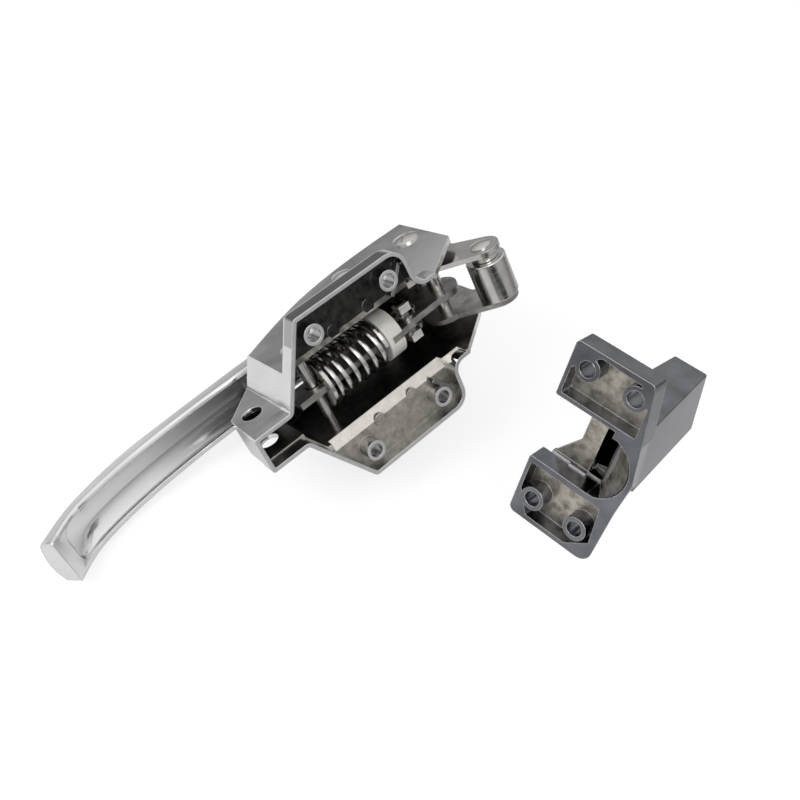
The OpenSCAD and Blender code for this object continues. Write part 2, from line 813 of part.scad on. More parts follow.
// Square nuts outside the fork
module cross_nuts() {
    from = fork_gap / 2 + fork_t + 2 * side_play;
    color("gainsboro")
    both_sides()
        difference() {
            along_strut()
                translate([cross_along, cross_beside, from + 2.2])
                    cube([cross_nut_w, cross_nut_w, 4.4], center = true);
            bar(cross_pin_c, cross_pin_d + 2 * running_play, 0, body_w);
        }
}

// Washers that keep the link plate in the middle of the fork
module cross_washers() {
    color("gainsboro")
    both_sides()
        ring(cross_pin_c, cross_nut_w + 1, cross_pin_d + 2 * running_play,
            link_t / 2, fork_gap / 2 - side_play);
}

module spring_seat() {
    color("ivory")
    along_strut()
        difference() {
            translate([seat_at, 0, 0]) rotate([0, 90, 0]) cylinder(d = seat_d, h = seat_t);
            translate([seat_at - over, -link_tongue_h / 2 - slip, -link_t / 2 - slip])
                cube([seat_t + 2 * over, link_tongue_h + 2 * slip, link_t + 2 * slip]);
            translate([seat_at + seat_hold, -seat_d, -link_t / 2 - slip])
                cube([seat_t, 2 * seat_d, link_t + 2 * slip]);
        }
}

// Distance along the spring after t turns, with closed turns at both ends
closed_turns = 0.75;
spring_l = seat_at - spring_from - wire_d;
open_pitch = (spring_l - 2 * closed_turns * wire_d) / (spring_turns - 2 * closed_turns);
function coil_at(t) =
    t < closed_turns ? t * wire_d
    : t > spring_turns - closed_turns ? spring_l - (spring_turns - t) * wire_d
    : closed_turns * wire_d + (t - closed_turns) * open_pitch;

module spring() {
    steps = 22;
    sides = 8;
    color("silver")
    along_strut()
        loft([for (k = [0 : spring_turns * steps])
            let (t = k / steps, a = 360 * t, x = spring_from + wire_d / 2 + coil_at(t))
            [for (j = [0 : sides - 1])
                let (r = coil_r + wire_d / 2 * cos(360 * j / sides))
                [x + wire_d / 2 * sin(360 * j / sides), r * cos(a), r * sin(a)]]]);
}

module spring_stop() {
    color("darkgray")
    along_strut()
        difference() {
            translate([stop_at, 0, 0]) rotate([0, 90, 0]) cylinder(d = seat_d, h = stop_t);
            translate([stop_at - over, -link_tongue_h / 2 - slot_play, -link_t / 2 - slip])
                cube([stop_t + 2 * over, link_tongue_h + 2 * slot_play, link_t + 2 * slip]);
        }
}

// Plans of the feet of the strike at the mounting face and at the back, and of their hollows
upper_foot = [
    [-strike_left, upper_foot_from, 1], [upper_inner, upper_foot_from, 0],
    [upper_corner.x, upper_corner.y, 6], [upper_corner.x - 1, upper_foot_end, 2],
    [-strike_left, upper_foot_end, 2]];
function lower_foot(end, inner) = [
    [-strike_left, -lower_foot_end, 3], [end, -lower_foot_end, 6],
    [inner, -lower_foot_from, 0], [-strike_left, -lower_foot_from, 1]];
hollow_left_u = rim_side - strike_left;
boss_v = strike_pitch_v / 2;
boss_r = strike_boss_d / 2;
upper_hollow = [
    [hollow_left_u, upper_foot_from + foot_rim, 1],
    [upper_inner - 2 * foot_rim, upper_foot_from + foot_rim, 0.6],
    [upper_inner - 2 * foot_rim - 0.4, boss_v - rim_side, 0.6],
    [strike_pitch_u / 2, upper_foot_end - rim_top, 1],
    [boss_r - strike_pitch_u / 2 - rim_side, upper_foot_end - foot_rim, 1],
    [hollow_left_u, boss_v - rim_top, 1]];
lower_hollow = [
    [hollow_left_u, foot_rim - boss_v, 1],
    [-strike_pitch_u / 2, rim_bottom - lower_foot_end, 1],
    [strike_pitch_u / 2 - rim_side, rim_bottom - lower_foot_end, 1],
    [lower_right.x - foot_rim - 1, -boss_v - foot_rim, 1],
    [lower_right.y - foot_rim, -lower_foot_from - rim_top, 1],
    [hollow_left_u, -lower_foot_from - rim_top, 1]];

module strike_foot(back, front, hollow, v) {
    difference() {
        loft([deep(outline(back), foot_t), deep(outline(front), 0)]);
        translate([0, 0, -foot_t + foot_floor]) linear_extrude(foot_t) polygon(outline(hollow));
    }
    for (u = [-1, 1])
        translate([u * strike_pitch_u / 2, v, -foot_t])
            cylinder(d = strike_boss_d, h = foot_t);
}

// Ring of a tapered block, as its corners in a plane at one depth
function deep(pts, w) = [for (p = pts) [p.x, p.y, -w]];

// Side wall between the feet, which leans back to the box
module strike_cheek() {
    low = box_low_right[0];
    high = box_high_right[0];
    loft([
        deep([[plate_right, -lower_foot_from], [low.x - 2, low.y + 1.5], low + [-1, 2.5],
            high - [0.9, 1.5], [plate_right, high.y - 1.5]], box_from + 2.5 * strike_wall),
        deep([[plate_right, -lower_foot_from], [lower_inner.x, -lower_foot_from],
            bulge, [upper_inner, upper_foot_from],
            [plate_right, upper_foot_from]], 0)]);
}

// Ring of the box behind the plate, moved inwards by d: end 0 is at the plate, end 1 far from it
function box_ring(end, d, w) =
    let (low = box_low_right[end], high = box_high_right[end])
    deep(outline([[box_left[end], box_low_left[end], box_r], [low.x, low.y, box_r],
        [high.x, high.y, box_r], [box_left[end], high.y, box_r]], d), w);
module box_block(d, from, to) {
    loft([box_ring(1, d, to), box_ring(0, d, from)]);
}

// Hollow between the feet: round at the mounting face and straight where it meets the slot
module strike_scoop() {
    turn = 70;
    steps = 12;
    bow = arc(scoop_at, scoop_r, -turn, turn, steps);
    back = [for (p = bow) [slot_right_u, p.y]];
    past = [for (i = [0 : steps]) bow[i] + (bow[i] - back[i]) / plate_w];
    ends = [[plate_right, back[0].y], [plate_right, back[steps].y]];
    loft([
        deep(concat([ends[0]], back, [ends[1]]), plate_w),
        deep(concat([ends[0]], past, [ends[1]]), -1)]);
}

// Bar with square ends, between two corners and from one depth to another
module deep_bar(a, b, w0, w1) {
    translate([a.x, a.y, -w1]) cube([b.x - a.x, b.y - a.y, w1 - w0]);
}

// Plate between the feet, the walls that carry it and the stepped ridge along its lower edge
module strike_plate() {
    back = plate_w + strike_wall;
    low = -lower_foot_from - foot_rim;
    high = upper_foot_from + foot_rim;
    translate([0, 0, -back])
        linear_extrude(strike_wall)
            polygon([[plate_foot, low], [lower_inner.y - foot_rim, low],
                [upper_inner - foot_rim, high], [plate_left, high],
                [plate_left, bulge.y - 1.5], plate_bend, [plate_foot, -lower_foot_from]]);
    deep_bar([plate_foot, low], [lower_inner.y - foot_rim, -lower_foot_from], strike_wall, back);
    deep_bar([plate_left, upper_foot_from], [upper_corner.x, high - set_in], strike_wall, back);
    deep_bar([plate_foot, low + 1], [ridge_step + 1, 1 - lower_foot_from], plate_w - ridge_h[0], back - 1);
    deep_bar([ridge_step, low + 1], [plate_right, 1 - lower_foot_from], plate_w - ridge_h[1], back - 1);
}

module strike_body() {
    slot_v = [1 - lower_foot_from, upper_foot_from - 1];
    color("dimgray")
    translate(strike_at)
        rotate(strike_turn)
            difference() {
                union() {
                    difference() {
                        union() {
                            strike_cheek();
                            box_block(0, box_from, strike_depth);
                        }
                        strike_scoop();
                        box_block(strike_wall, plate_w + strike_wall, strike_depth - strike_wall);
                        deep_bar([-strike_left, -lower_foot_end], [slot_right_u, upper_foot_end],
                            -over, plate_w);
                    }
                    strike_foot(lower_foot(lower_right.y, lower_inner.y),
                        lower_foot(lower_right.x, lower_inner.x), lower_hollow, -boss_v);
                    strike_foot(upper_foot, upper_foot, upper_hollow, boss_v);
                    strike_plate();
                }
                deep_bar([plate_right, slot_v[0]], [slot_right_u, slot_v[1]],
                    plate_w - over, box_from + 2 * strike_wall);
                for (u = [-1, 1], v = [-1, 1])
                    translate([u * strike_pitch_u / 2, v * strike_pitch_v / 2, -foot_t - over])
                        cylinder(d = strike_hole_d, h = foot_t + 2 * over);
            }
}

housing();
handle();
handle_pivot_pin();  // handle_pivot
arm_pivot_pin();  // arm_pivot
spring_anchor_pin();
upper_pivot_spacer();
lower_pivot_spacer();
pivot_tube();
upper_arm_plate();
lower_arm_plate();
link_pin();
roller_axle();
roller();
roller_washers();
link_plate();
cross_pin();
cross_nuts();
cross_washers();
spring_seat();
spring();
spring_stop();
strike_body();
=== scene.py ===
# %% [markdown]
# # Cold room door lock
# A spring roller latch with its pull handle lies on a white table beside the strike that it closes
# on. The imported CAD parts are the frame: they carry the sizes and the joints, and this script gives
# them their finishes, the light and the camera.

# %% Load the frame
import json
import math
import bpy
from mathutils import Matrix, Vector

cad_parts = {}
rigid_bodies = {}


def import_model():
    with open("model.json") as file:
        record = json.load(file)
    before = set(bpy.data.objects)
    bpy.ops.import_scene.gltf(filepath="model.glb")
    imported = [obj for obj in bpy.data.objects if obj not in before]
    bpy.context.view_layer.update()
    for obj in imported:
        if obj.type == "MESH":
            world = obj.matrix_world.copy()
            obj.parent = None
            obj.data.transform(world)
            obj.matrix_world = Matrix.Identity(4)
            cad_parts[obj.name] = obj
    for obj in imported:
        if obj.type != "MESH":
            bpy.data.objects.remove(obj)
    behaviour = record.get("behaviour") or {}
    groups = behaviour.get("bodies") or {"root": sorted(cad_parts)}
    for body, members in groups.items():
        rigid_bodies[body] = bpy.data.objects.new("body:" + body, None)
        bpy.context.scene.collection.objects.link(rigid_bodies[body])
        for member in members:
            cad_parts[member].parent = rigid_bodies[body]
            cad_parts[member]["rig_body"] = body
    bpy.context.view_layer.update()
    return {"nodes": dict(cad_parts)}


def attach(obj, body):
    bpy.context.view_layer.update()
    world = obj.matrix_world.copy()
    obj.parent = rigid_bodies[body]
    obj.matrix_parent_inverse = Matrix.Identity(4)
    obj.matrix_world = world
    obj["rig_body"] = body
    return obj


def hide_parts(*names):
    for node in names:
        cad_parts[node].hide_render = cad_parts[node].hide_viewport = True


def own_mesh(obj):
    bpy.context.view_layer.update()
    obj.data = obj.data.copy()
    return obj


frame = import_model()
nodes = frame["nodes"]

# %% [markdown]
# ## Camera
# The photograph was taken from above and in front of the left end, with a normal lens. A camera is
# a matrix: its columns are the directions that point right, up and back in the picture. Writing
# the columns down is surer than aiming it with a constraint, and it needs nothing else in the
# scene.

# %% Place the camera
MM = 0.001
view_right = Vector((0.7423, -0.5502, -0.3826))
view_up = Vector((0.5810, 0.2438, 0.7766))
view_back = Vector((-0.3340, -0.7987, 0.5005))
camera_place = Vector((-142.0, -364.8, 211.3)) * MM

bpy.ops.object.camera_add()
camera = bpy.context.object
camera.name = "camera"
camera.matrix_world = Matrix.Translation(camera_place) @ Matrix((
    view_right, view_up, view_back)).transposed().to_4x4()
camera.data.lens = 42.19
camera.data.sensor_width = 36
camera.data.shift_x = -0.0165
camera.data.shift_y = -0.0213
camera.data.clip_start = 0.01
bpy.context.scene.camera = camera
print("camera at", [round(v, 3) for v in camera_place])

# %% [markdown]
# ## Helpers for materials
# Every finish is a small tree of nodes round one Principled shader. These helpers add a node, join
# two sockets and read the place of a point on the object, so that each finish below is short.

# %% Node helpers
def new_material(name):
    material = bpy.data.materials.new(name)
    material.use_nodes = True
    tree = material.node_tree
    tree.nodes.clear()
    out = tree.nodes.new("ShaderNodeOutputMaterial")
    shader = tree.nodes.new("ShaderNodeBsdfPrincipled")
    tree.links.new(shader.outputs["BSDF"], out.inputs["Surface"])
    return material, tree, shader


def place(tree):
    return tree.nodes.new("ShaderNodeTexCoord").outputs["Object"]


def noise(tree, where, scale, detail=4.0, rough=0.5):
    n = tree.nodes.new("ShaderNodeTexNoise")
    n.inputs["Scale"].default_value = scale
    n.inputs["Detail"].default_value = detail
    n.inputs["Roughness"].default_value = rough
    tree.links.new(where, n.inputs["Vector"])
    return n.outputs["Fac"]


def ramp(tree, value, stops):
    r = tree.nodes.new("ShaderNodeValToRGB")
    while len(r.color_ramp.elements) > 1:
        r.color_ramp.elements.remove(r.color_ramp.elements[0])
    r.color_ramp.elements[0].position = stops[0][0]
    r.color_ramp.elements[0].color = (*stops[0][1], 1)
    for at, colour in stops[1:]:
        r.color_ramp.elements.new(at).color = (*colour, 1)
    tree.links.new(value, r.inputs["Fac"])
    return r.outputs["Color"]


def grey(v):
    return (v, v, v)


def math_node(tree, kind, a, b=None):
    m = tree.nodes.new("ShaderNodeMath")
    m.operation = kind
    for socket, value in zip(m.inputs, (a, b)):
        if value is None:
            continue
        if isinstance(value, (int, float)):
            socket.default_value = value
        else:
            tree.links.new(value, socket)
    return m.outputs[0]


def times(tree, first, *others):
    """The product of masks: 1 only where all of them are 1."""
    for other in others:
        first = math_node(tree, "MULTIPLY", first, other)
    return first


def mix_colour(tree, factor, a, b):
    m = tree.nodes.new("ShaderNodeMix")
    m.data_type = "RGBA"
    sockets = [m.inputs[0], m.inputs[6], m.inputs[7]]
    for socket, value in zip(sockets, (factor, a, b)):
        if isinstance(value, (int, float)):
            socket.default_value = value
        elif isinstance(value, tuple):
            socket.default_value = (*value, 1)
        else:
            tree.links.new(value, socket)
    return m.outputs[2]


def bump(tree, shader, height, distance, strength=1.0, edge=0.0, dish=None):
    """Fine relief over a rounded edge and, if given, over a slow dish measured in metres."""
    b = tree.nodes.new("ShaderNodeBump")
    b.inputs["Distance"].default_value = distance
    b.inputs["Strength"].default_value = strength
    tree.links.new(height, b.inputs["Height"])
    if edge:
        e = tree.nodes.new("ShaderNodeBevel")
        e.samples = 6
        e.inputs["Radius"].default_value = edge
        tree.links.new(e.outputs["Normal"], b.inputs["Normal"])
    if dish:
        d = tree.nodes.new("ShaderNodeBump")
        d.inputs["Distance"].default_value = 1
        tree.links.new(dish, d.inputs["Height"])
        tree.links.new(e.outputs["Normal"], d.inputs["Normal"])
        tree.links.new(d.outputs["Normal"], b.inputs["Normal"])
    tree.links.new(b.outputs["Normal"], shader.inputs["Normal"])


def xyz(tree, where):
    s = tree.nodes.new("ShaderNodeSeparateXYZ")
    tree.links.new(where, s.inputs[0])
    return s.outputs


def level(tree, value, low, high):
    m = tree.nodes.new("ShaderNodeMapRange")
    m.inputs["From Min"].default_value = low
    m.inputs["From Max"].default_value = high
    tree.links.new(value, m.inputs["Value"])
    return m.outputs["Result"]


def span(tree, value, low, high, soft=0.0002):
    """1 between low and high, 0 outside."""
    return times(tree, level(tree, value, low - soft, low), level(tree, value, high + soft, high))


def true_normal(tree):
    return tree.nodes.new("ShaderNodeNewGeometry").outputs["True Normal"]


# %% [markdown]
# ## Polished chrome casting
# The housing is a zinc casting, polished and plated outside. The plating is almost a mirror, a
# little wavy because the metal under it was buffed by hand. The rim that meets the door was ground
# flat and is dull. The deep hollow and the floor of the upper pocket are painted nearly black:
# painted shade. The floor of the lower pocket is pale brown and rough, and a lighter bar runs beside
# the hollow. The webs and the upright walls in the pockets are painted darker grey, also painted
# shade. The place of a point on the part, and the way its surface faces, tell these zones apart,
# so one material serves the whole casting. A mask is 1 in its zone and 0 outside it. Lengths are
# in metres.

# %% Chrome casting
NECK_START = -0.045
NECK_HALF = 0.0085
BAR_EDGE = 0.0243
WEB_TOP = 0.0068
FLANGE_TOP = 0.012
POCKET_LEFT, POCKET_RIGHT = -0.0345, 0.0335


def chrome_casting(name, hollow_half, hollow_top, pocket_floor):
    material, tree, shader = new_material(name)
    where = place(tree)
    spots = xyz(tree, where)
    aside = math_node(tree, "ABSOLUTE", spots["Z"])
    facing = xyz(tree, true_normal(tree))
    down = level(tree, facing["Y"], -0.9, -0.98)
    ground = times(tree, level(tree, spots["Y"], 0.0001, 0.00005), down)
    inward = times(tree, level(tree, facing["X"], -0.35, -0.25), level(tree, facing["Y"], 0.3, 0.2))
    neck_sides = times(tree, level(tree, spots["X"], NECK_START + 0.0005, NECK_START - 0.0005),
        level(tree, aside, NECK_HALF - 0.0002, NECK_HALF + 0.0002))
    deep = times(tree, span(tree, aside, -0.01, hollow_half),
        span(tree, spots["Y"], 0.0002, hollow_top), inward,
        math_node(tree, "SUBTRACT", 1, neck_sides))
    upper = level(tree, spots["Z"], -0.001, 0.001)
    floor = times(tree, span(tree, spots["Y"], pocket_floor - 0.0006, pocket_floor + 0.0002), down)
    haze = noise(tree, where, 60, 6)
    mottle = noise(tree, where, 240, 8, 0.7)
    grain = noise(tree, where, 900, 3)
    colour = ramp(tree, haze, [(0.3, grey(0.74)), (0.7, grey(0.82))])
    # Painted shade: the deep hollow is painted near black.
    colour = mix_colour(tree, deep, colour, ramp(tree, mottle, [(0.35, (0.045, 0.042, 0.04)),
        (0.7, (0.15, 0.14, 0.13))]))
    # Painted shade: the upper pocket's floor is painted near black. The lower pocket's pale brown is
    # its bare casting.
    pocket = mix_colour(tree, upper, ramp(tree, mottle, [(0.35, (0.3, 0.28, 0.25)),
        (0.65, (0.52, 0.49, 0.44))]), ramp(tree, mottle, [(0.35, grey(0.015)),
        (0.7, (0.06, 0.058, 0.055))]))
    colour = mix_colour(tree, floor, colour, pocket)
    bar = times(tree, floor, span(tree, aside, hollow_half - 0.001, BAR_EDGE))
    colour = mix_colour(tree, bar, colour, (0.66, 0.62, 0.56))
    beyond = times(tree, span(tree, spots["Y"], 0.0004, FLANGE_TOP),
        level(tree, aside, hollow_half - 0.001, hollow_half))
    slope = times(tree, span(tree, facing["Y"], -0.85, -0.55, 0.03), beyond)
    colour = mix_colour(tree, slope, colour, ramp(tree, mottle, [(0.3, (0.46, 0.44, 0.4)),
        (0.7, (0.62, 0.6, 0.56))]))
    # Painted shade: the lower faces of the webs are painted dark grey.
    webs = times(tree, down, beyond, span(tree, spots["Y"], 0.0005, WEB_TOP))
    colour = mix_colour(tree, webs, colour, grey(0.22))
    # Painted shade: the upright walls inside the pockets are painted darker grey.
    upright = times(tree, span(tree, facing["Y"], -0.3, 0.3, 0.03), beyond,
        span(tree, spots["Y"], 0.0004, pocket_floor),
        span(tree, spots["X"], POCKET_LEFT, POCKET_RIGHT))
    colour = mix_colour(tree, upright, colour, grey(0.42))
    colour = mix_colour(tree, ground, colour, ramp(tree, mottle, [(0.3, grey(0.5)),
        (0.7, grey(0.62))]))
    tree.links.new(colour, shader.inputs["Base Color"])
    rough = ramp(tree, haze, [(0.3, grey(0.08)), (0.75, grey(0.16))])
    rough = mix_colour(tree, deep, rough, grey(0.28))
    rough = mix_colour(tree, floor, rough, grey(0.5))
    rough = mix_colour(tree, ground, rough, grey(0.4))
    rough = mix_colour(tree, slope, rough, grey(0.34))
    tree.links.new(rough, shader.inputs["Roughness"])
    shader.inputs["Metallic"].default_value = 1
    bump(tree, shader, mix_colour(tree, 0.08, noise(tree, where, 45, 2), grain), 0.0006, 0.12,
        0.0006)
    return material


# %% [markdown]
# ## Buffed handle
# The handle wears the same plating, buffed along its length, so faint streaks run along it. Its
# edges are rounder than the housing's. The floor of its hollow is slightly dished across, which
# draws one long bright line. Its colour is painted from light to dark along the hollow, darkest
# towards the hub: painted shade and reflection.

# %% Buffed chrome
DISH_PER_METRE = 34


def buffed_chrome(name, hollow_half, hollow_left, hollow_right):
    material, tree, shader = new_material(name)
    where = place(tree)
    spots = xyz(tree, where)
    facing = xyz(tree, true_normal(tree))
    behind = level(tree, facing["Y"], -0.1, -0.4)
    aside = math_node(tree, "ABSOLUTE", spots["Z"])
    inside = times(tree, behind, span(tree, aside, -0.01, hollow_half))
    stretch = tree.nodes.new("ShaderNodeMapping")
    stretch.inputs["Scale"].default_value = (0.06, 1, 1)
    tree.links.new(where, stretch.inputs["Vector"])
    streaks = noise(tree, stretch.outputs["Vector"], 500, 4)
    haze = noise(tree, where, 40, 5)
    # Painted shade and reflection: the hollow's floor is painted from light to dark towards the hub.
    along_x = level(tree, spots["X"], hollow_left, hollow_right)
    floor = ramp(tree, along_x, [(0, grey(0.78)), (0.45, grey(0.6)), (0.75, grey(0.3)),
        (1, grey(0.14))])
    colour = ramp(tree, haze, [(0.3, grey(0.72)), (0.7, grey(0.8))])
    tree.links.new(mix_colour(tree, inside, colour, floor), shader.inputs["Base Color"])
    tree.links.new(ramp(tree, streaks, [(0.3, grey(0.1)), (0.7, grey(0.2))]),
        shader.inputs["Roughness"])
    shader.inputs["Metallic"].default_value = 1
    across = math_node(tree, "MINIMUM", aside, hollow_half)
    dish = times(tree, across, across, DISH_PER_METRE, behind,
        level(tree, spots["X"], hollow_left - 0.002, hollow_left + 0.012))
    bump(tree, shader, streaks, 0.0002, 0.06, 0.0014, dish)
    return material


# %% [markdown]
# ## Dark plated casting
# The strike is the same casting under a darker nickel. The floors of its pockets and the scoop
# behind them are bare casting: warm grey, rough and mottled. They are the surfaces that face out
# of the strike but lie below its front face, so two measurements pick them out: how far a point
# lies behind the front, and which way its surface faces. One ridge among them is painted nearly
# white: a painted highlight.
# Sharp edges are painted bright, a painted highlight: a Bevel node rounds the normal there, and where
# it differs from the true one there is an edge.

# %% Dark casting
def along(tree, vector, direction):
    """Length of a vector's part along a fixed direction."""
    d = tree.nodes.new("ShaderNodeVectorMath")
    d.operation = "DOT_PRODUCT"
    d.inputs[1].default_value = direction
    tree.links.new(vector, d.inputs[0])
    return d.outputs["Value"]


def painted_edge_highlight(tree, radius):
    """1 on sharp edges, 0 on flats: where a rounded normal turns away from the true one."""
    rounded = tree.nodes.new("ShaderNodeBevel")
    rounded.samples = 4
    rounded.inputs["Radius"].default_value = radius
    d = tree.nodes.new("ShaderNodeVectorMath")
    d.operation = "DOT_PRODUCT"
    tree.links.new(rounded.outputs["Normal"], d.inputs[0])
    tree.links.new(true_normal(tree), d.inputs[1])
    return level(tree, d.outputs["Value"], 0.995, 0.9)


def dark_casting(name, front, front_at):
    material, tree, shader = new_material(name)
    where = place(tree)
    depth = along(tree, where, front)
    behind = level(tree, depth, front_at - 0.0006, front_at - 0.0012)
    bare = times(tree, behind, level(tree, along(tree, true_normal(tree), front), 0.3, 0.6))
    haze = noise(tree, where, 70, 6)
    mottle = noise(tree, where, 190, 7, 0.65)
    grain = noise(tree, where, 1100, 3)
    colour = ramp(tree, haze, [(0.3, (0.12, 0.125, 0.14)), (0.7, (0.22, 0.225, 0.245))])
    colour = mix_colour(tree, bare, colour, ramp(tree, mottle, [(0.32, (0.2, 0.175, 0.145)),
        (0.55, (0.56, 0.52, 0.45)), (0.75, (0.76, 0.72, 0.65))]))
    # Painted highlight: one ridge is painted nearly white.
    ridge = times(tree, bare, span(tree, depth, front_at - 0.0109, front_at - 0.009))
    colour = mix_colour(tree, ridge, colour, grey(0.92))
    # Painted highlight: sharp edges are painted light grey.
    colour = mix_colour(tree, painted_edge_highlight(tree, 0.0005), colour, grey(0.7))
    tree.links.new(colour, shader.inputs["Base Color"])
    rough = ramp(tree, haze, [(0.3, grey(0.14)), (0.75, grey(0.26))])
    tree.links.new(mix_colour(tree, bare, rough, grey(0.42)), shader.inputs["Roughness"])
    shader.inputs["Metallic"].default_value = 1
    bump(tree, shader, mix_colour(tree, 0.3, noise(tree, where, 60, 2), grain), 0.0006, 0.2,
        0.0006)
    return material


# %% [markdown]
# ## Turned and stamped steel
# Pins, spring and roller are plated steel: warmer than chrome and slightly rougher. Fine lines run
# round the roller and the pins from turning, so the noise that roughens them is squeezed along
# their axis. The cross pin has a thread, which is only relief, and its nuts are plated lighter. The
# lower arm and the link are stamped plate with a dull, grainy skin.

# %% Steel finishes
def bright_steel(name, tone=0.6, rough=0.18, thread=0.0):
    material, tree, shader = new_material(name)
    where = place(tree)
    stretch = tree.nodes.new("ShaderNodeMapping")
    stretch.inputs["Scale"].default_value = (0.05, 0.05, 1)
    tree.links.new(where, stretch.inputs["Vector"])
    lines = noise(tree, stretch.outputs["Vector"], 2600, 2)
    haze = noise(tree, where, 130, 4)
    tree.links.new(
        ramp(tree, haze, [(0.3, (tone * 0.86, tone * 0.84, tone * 0.8)),
            (0.7, (tone, tone * 0.98, tone * 0.95))]), shader.inputs["Base Color"])
    tree.links.new(ramp(tree, lines, [(0.3, grey(rough * 0.6)), (0.7, grey(rough * 1.5))]),
        shader.inputs["Roughness"])
    shader.inputs["Metallic"].default_value = 1
    if thread:
        turns = tree.nodes.new("ShaderNodeTexWave")
        turns.bands_direction = "Z"
        turns.inputs["Scale"].default_value = 0.314 / thread
        tree.links.new(where, turns.inputs["Vector"])
        bump(tree, shader, turns.outputs["Fac"], thread * 0.6, 1.0)
    else:
        bump(tree, shader, lines, 0.0002, 0.15, 0.0003)
    return material


def plain_steel(name, tone=0.36):
    material, tree, shader = new_material(name)
    where = place(tree)
    haze = noise(tree, where, 160, 8, 0.65)
    grain = noise(tree, where, 1500, 3)
    tree.links.new(ramp(tree, haze, [(0.32, (tone * 0.6, tone * 0.58, tone * 0.55)),
        (0.68, (tone * 1.25, tone * 1.22, tone * 1.18))]), shader.inputs["Base Color"])
    tree.links.new(ramp(tree, grain, [(0.3, grey(0.3)), (0.7, grey(0.5))]),
        shader.inputs["Roughness"])
    shader.inputs["Metallic"].default_value = 1
    bump(tree, shader, mix_colour(tree, 0.5, haze, grain), 0.0005, 0.4, 0.0003)
    return material


# %% [markdown]
# ## Nylon
# The spring seat is moulded nylon: off-white, softly shiny, and it lets a little light in. Its colour
# is painted greyer: painted shade.

# %% Nylon
def nylon(name):
    material, tree, shader = new_material(name)
    where = place(tree)
    haze = noise(tree, where, 220, 4)
    # Painted shade: the nylon is painted greyer than off-white.
    tree.links.new(ramp(tree, haze, [(0.3, (0.5, 0.49, 0.46)), (0.7, (0.6, 0.59, 0.56))]),
        shader.inputs["Base Color"])
    shader.inputs["Roughness"].default_value = 0.42
    shader.inputs["Subsurface Weight"].default_value = 0.15
    shader.inputs["Subsurface Scale"].default_value = 0.002
    bump(tree, shader, haze, 0.0003, 0.15, 0.0005)
    return material


# %% [markdown]
# ## Smooth copies of the castings
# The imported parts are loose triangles, each shaded flat. A polished surface needs its neighbours'
# shading to run together, so each part is copied, its doubled points are merged and the triangles
# of each flat are joined into one face. Shallow edges are then shaded smooth, with the normals
# weighted by area: a large flat stays flat and the narrow strips beside it carry the bend. The
# copy stands for the part and rides on the same body.

# %% Make the smooth copies
DOUBLED = 0.000002
FLAT_DEGREES = 0.4
SMOOTH_DEGREES = 32


def smooth_copy(name, material):
    bpy.ops.object.select_all(action="DESELECT")
    source = nodes[name]
    piece = source.copy()
    piece.data = source.data.copy()
    piece.name = name + "_finished"
    piece.parent = None
    for key in [k for k in piece.keys() if k.startswith("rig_")]:
        del piece[key]
    bpy.context.scene.collection.objects.link(piece)
    piece.matrix_world = Matrix.Identity(4)
    piece.select_set(True)
    bpy.context.view_layer.objects.active = piece
    bpy.ops.object.mode_set(mode="EDIT")
    bpy.ops.mesh.select_all(action="SELECT")
    bpy.ops.mesh.remove_doubles(threshold=DOUBLED)
    bpy.ops.mesh.customdata_custom_splitnormals_clear()
    bpy.ops.mesh.select_all(action="SELECT")
    bpy.ops.mesh.dissolve_limited(angle_limit=math.radians(FLAT_DEGREES))
    bpy.ops.object.mode_set(mode="OBJECT")
    bpy.ops.object.shade_smooth_by_angle(angle=math.radians(SMOOTH_DEGREES))
    bpy.ops.object.modifier_add(type="WEIGHTED_NORMAL")
    piece.modifiers[-1].keep_sharp = True
    piece.modifiers[-1].weight = 100
    bpy.ops.object.modifier_apply(modifier=piece.modifiers[-1].name)
    piece.data.materials.clear()
    piece.data.materials.append(material)
    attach(piece, source["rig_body"])
    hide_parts(name)
    return piece


finishes = {
    "chrome_casting": chrome_casting("chrome casting", 0.0213, 0.0724, 0.008),
    "buffed_chrome": buffed_chrome("buffed chrome", 0.0098, -0.158, -0.055),
    "dark_chrome_casting": dark_casting("dark casting", (-0.8824, -0.3040, 0.3592), 0.00293),
    "bright_steel": bright_steel("bright steel"),
    "threaded_steel": bright_steel("threaded steel", thread=0.0005),
    "nut_plating": bright_steel("nut plating", tone=0.95, rough=0.3),
    "plain_steel": plain_steel("plain steel"),
    "nylon": nylon("nylon"),
}
part_slots = {
    "housing": "chrome_casting", "handle": "chrome_casting", "strike_body": "dark_chrome_casting",
    "link_plate": "plain_steel", "lower_arm_plate": "plain_steel",
    "spring_seat": "nylon",
}
part_finishes = {"handle": "buffed_chrome", "cross_pin": "threaded_steel",
    "cross_nuts": "nut_plating"}
pieces = {}
for name in sorted(nodes):
    slot = part_slots.get(name, "bright_steel")
    pieces[name] = smooth_copy(name, finishes[part_finishes.get(name, slot)])
print("smooth copies:", len(pieces))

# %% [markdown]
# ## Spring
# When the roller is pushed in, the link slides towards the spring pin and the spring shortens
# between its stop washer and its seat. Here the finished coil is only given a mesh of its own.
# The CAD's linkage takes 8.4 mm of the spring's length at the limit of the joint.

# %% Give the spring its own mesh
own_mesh(pieces["spring"])

# %% [markdown]
# ## Table
# The lock lies on a white table, tilted against the CAD's own axes. The floor is a large plane
# square to the table's normal, just under the lowest point of the large pieces. Seen by the camera
# it is white, with only a soft shadow. What the metal mirrors of it is grey, and darker further
# out. From below it lets the view through.

# %% Add the table
TABLE_GAP = 0.0004
NEAR, FAR = 0.25, 0.9

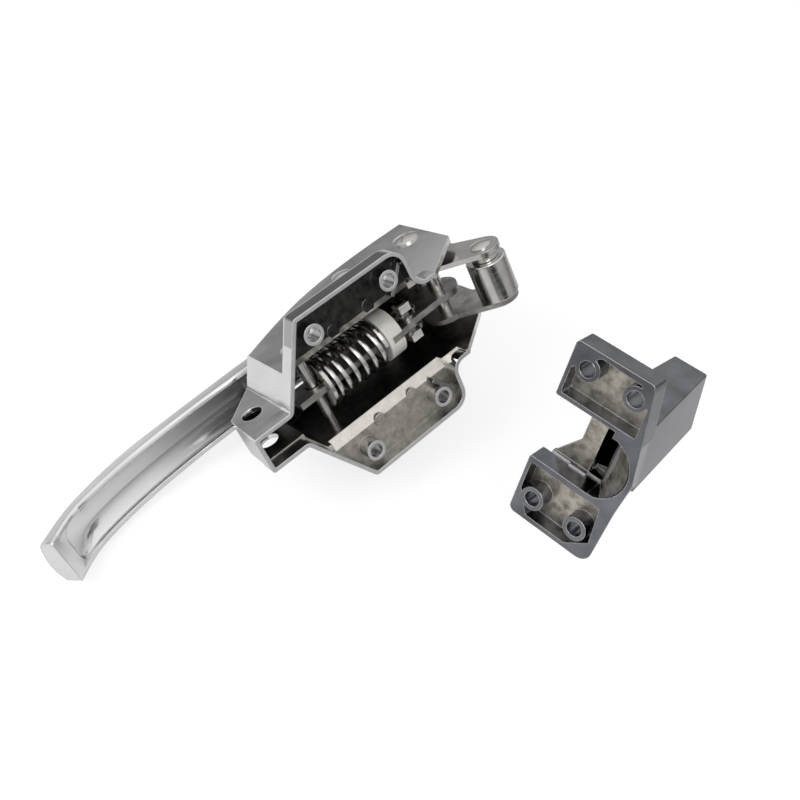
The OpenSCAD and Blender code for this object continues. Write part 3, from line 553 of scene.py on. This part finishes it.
table_up = Vector((0.19, -0.51, 0.84)).normalized()
lowest = min(v.co.dot(table_up) for name in ("housing", "handle", "strike_body", "roller")
    for v in pieces[name].data.vertices)
bpy.ops.object.select_all(action="DESELECT")
bpy.ops.mesh.primitive_plane_add(size=6, location=table_up * (lowest - TABLE_GAP),
    rotation=table_up.to_track_quat("Z", "Y").to_euler())
floor = bpy.context.object
floor.name = "table"
material, tree, shader = new_material("white table")
paths = tree.nodes.new("ShaderNodeLightPath")
away = tree.nodes.new("ShaderNodeVectorMath")
away.operation = "LENGTH"
tree.links.new(place(tree), away.inputs[0])
far = level(tree, away.outputs["Value"], NEAR, FAR)
mirrored_table = ramp(tree, far, [(0, grey(0.55)), (0.5, grey(0.28)), (1, grey(0.14))])
tree.links.new(mix_colour(tree, paths.outputs["Is Camera Ray"], mirrored_table,
    grey(0.88)), shader.inputs["Base Color"])
shader.inputs["Roughness"].default_value = 0.7
shader.inputs["Specular IOR Level"].default_value = 0.2
glow = tree.nodes.new("ShaderNodeEmission")
glow.inputs["Strength"].default_value = 1
clear = tree.nodes.new("ShaderNodeBsdfTransparent")
share = tree.nodes.new("ShaderNodeMapRange")
share.inputs["To Min"].default_value = 0.72
tree.links.new(far, share.inputs["Value"])
seen = times(tree, paths.outputs["Is Camera Ray"], share.outputs["Result"])
front = tree.nodes.new("ShaderNodeMixShader")
tree.links.new(seen, front.inputs[0])
tree.links.new(shader.outputs[0], front.inputs[1])
tree.links.new(glow.outputs[0], front.inputs[2])
sides = tree.nodes.new("ShaderNodeMixShader")
tree.links.new(tree.nodes.new("ShaderNodeNewGeometry").outputs["Backfacing"], sides.inputs[0])
tree.links.new(front.outputs[0], sides.inputs[1])
tree.links.new(clear.outputs[0], sides.inputs[2])
tree.links.new(sides.outputs[0], tree.nodes["Material Output"].inputs["Surface"])
floor.data.materials.append(material)
print("table", round(lowest * 1000, 1), "mm along its normal from the origin")

# %% [markdown]
# ## Light
# Chrome shows the room, not its own colour. The camera sees a plain white room, but the metal
# mirrors a darker one: a tent that is bright above, greyer at the horizon and dark low down. That
# draws the dark and grey bands of the photograph. It was chosen for this view, and in a plain white
# room the same chrome would be paler. Two soft lamps stand in the room. The key gives the shadow
# and isn't mirrored by the metal, and the weaker front lamp is.

# %% Light the scene
world = bpy.data.worlds.new("studio")
bpy.context.scene.world = world
world.use_nodes = True
tree = world.node_tree
tree.nodes.clear()
out = tree.nodes.new("ShaderNodeOutputWorld")
background = tree.nodes.new("ShaderNodeBackground")
paths = tree.nodes.new("ShaderNodeLightPath")
toward = tree.nodes.new("ShaderNodeTexCoord").outputs["Generated"]
height = tree.nodes.new("ShaderNodeVectorMath")
height.operation = "DOT_PRODUCT"
height.inputs[1].default_value = table_up
tree.links.new(toward, height.inputs[0])
tent = ramp(tree, level(tree, height.outputs["Value"], -1, 1),
    [(0.3, grey(0.12)), (0.48, grey(0.36)), (0.56, grey(0.58)), (0.75, grey(0.92)),
        (1, grey(1.15))])
plain = mix_colour(tree, paths.outputs["Is Camera Ray"], tent, grey(1))
tree.links.new(plain, background.inputs["Color"])
tree.links.new(background.outputs[0], out.inputs["Surface"])


def soft_lamp(name, place_mm, aim_mm, width, length, watts, mirrored):
    spot = Vector(place_mm) * MM
    data = bpy.data.lights.new(name, "AREA")
    data.shape = "RECTANGLE"
    data.size, data.size_y = width, length
    data.energy = watts
    lamp = bpy.data.objects.new(name, data)
    bpy.context.scene.collection.objects.link(lamp)
    turn = (spot - Vector(aim_mm) * MM).to_track_quat("Z", "Y").to_matrix().to_4x4()
    lamp.matrix_world = Matrix.Translation(spot) @ turn
    lamp.visible_glossy = mirrored


soft_lamp("key", (-700, -200, 900), (0, 0, 0), 0.7, 0.7, 8, False)
soft_lamp("front", (-200, -1000, 500), (0, 0, 0), 0.6, 0.6, 3, True)

bpy.context.scene.view_settings.view_transform = "Standard"
print("lamps: key and front")
